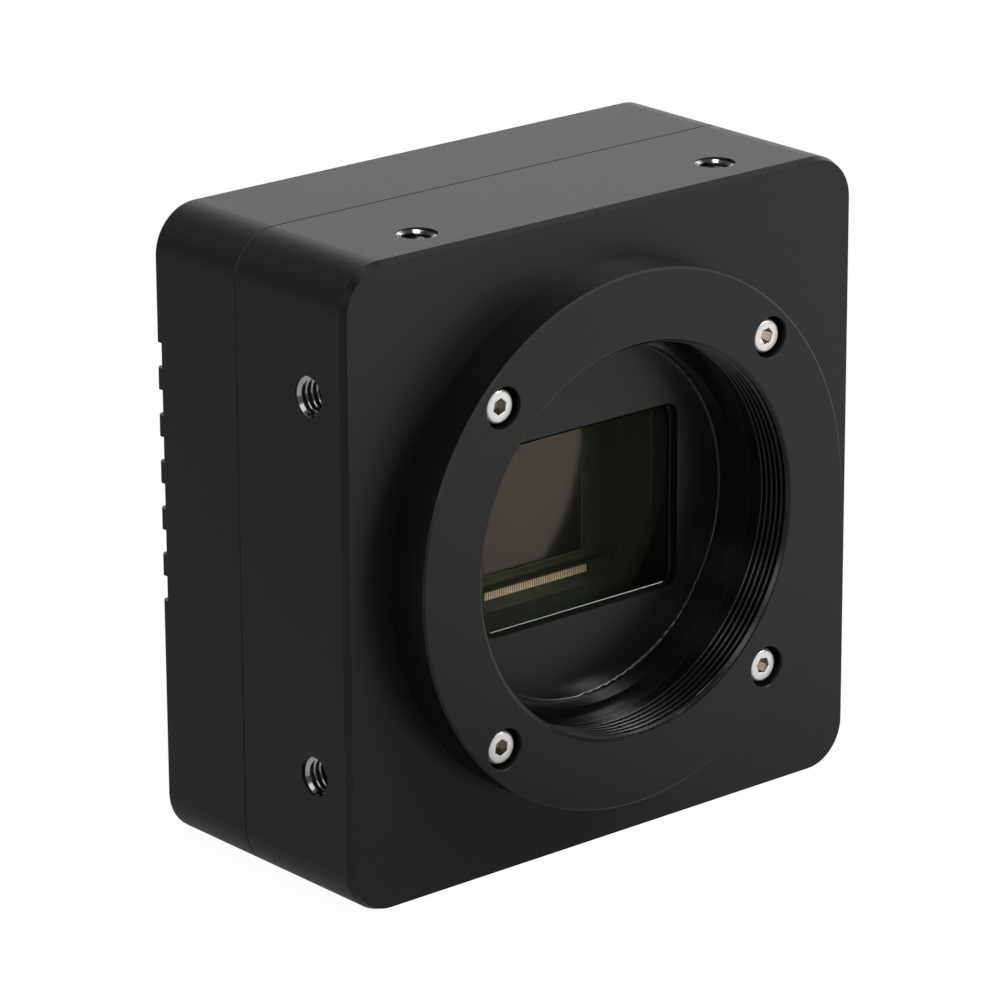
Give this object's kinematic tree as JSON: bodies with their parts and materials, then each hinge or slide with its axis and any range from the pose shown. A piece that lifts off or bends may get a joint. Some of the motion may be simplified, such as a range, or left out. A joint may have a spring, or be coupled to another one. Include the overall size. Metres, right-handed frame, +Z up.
{
  "type": "microscope camera",
  "caption": "Square microscope camera with a round threaded lens mount, image sensor behind a window, side mounting threads and rear cooling grooves.",
  "frame": {"origin": "on the optical axis, in the plane of the mount ring's front face (the flange that a lens seats on)", "axes": "+Y runs back along the optical axis, away from the lens; +Z is up; +X is to the right as seen from the lens side"},
  "size_m": [0.068, 0.0385, 0.068],
  "materials": {
    "body_anodised": "fine blasted black anodise",
    "ring_anodised": "fine blasted black anodise",
    "black_rubber": "matt",
    "screw_steel": "satin stainless",
    "shim_steel": "rolled",
    "insert_steel": "bright drawn wire",
    "window_glass": "polished, coated",
    "bead_black": "glossy",
    "sensor_ceramic": "fine matt ceramic",
    "cover_glass": "polished, coated",
    "sensor_silicon": "polished with a fine pixel grid",
    "gold": "gold plated",
    "board_laminate": "green solder mask",
    "nickel_brass": "nickel plated",
    "connector_plastic": "moulded black",
    "chip_plastic": "moulded epoxy",
    "ferrite": "pressed ferrite",
    "pad_silicone": "soft filled silicone",
    "connector_steel": "drawn steel",
    "socket_metal": "satin nickel",
    "light_plastic": "diffusing light pipe"
  },
  "bodies": {
    "root": {"front_housing": "body_anodised", "rear_housing": "body_anodised", "housing_gasket": "black_rubber", "housing_screws": "screw_steel", "lens_mount_ring": "ring_anodised", "mount_ring_screws": "screw_steel", "focus_shim": "shim_steel", "side_thread_inserts": "insert_steel", "window_glass": "window_glass", "window_seal": "bead_black", "sensor_chamber_gasket": "black_rubber", "sensor_package": "sensor_ceramic", "sensor_cover_glass": "cover_glass", "sensor_die": "sensor_silicon", "bond_pad_rows": "gold", "sensor_board": "board_laminate", "processor_board": "board_laminate", "board_standoffs": "nickel_brass", "board_screws": "screw_steel", "board_link_plug": "connector_plastic", "board_link_socket": "connector_plastic", "processor_chip": "chip_plastic", "memory_chips": "chip_plastic", "power_inductors": "ferrite", "thermal_pad": "pad_silicone", "usb_connector_shell": "connector_steel", "usb_connector_tongue": "connector_plastic", "socket_shell": "socket_metal", "socket_nut": "nickel_brass", "socket_insert": "connector_plastic", "socket_pins": "gold", "status_light": "light_plastic"}
  },
  "joints": []
}
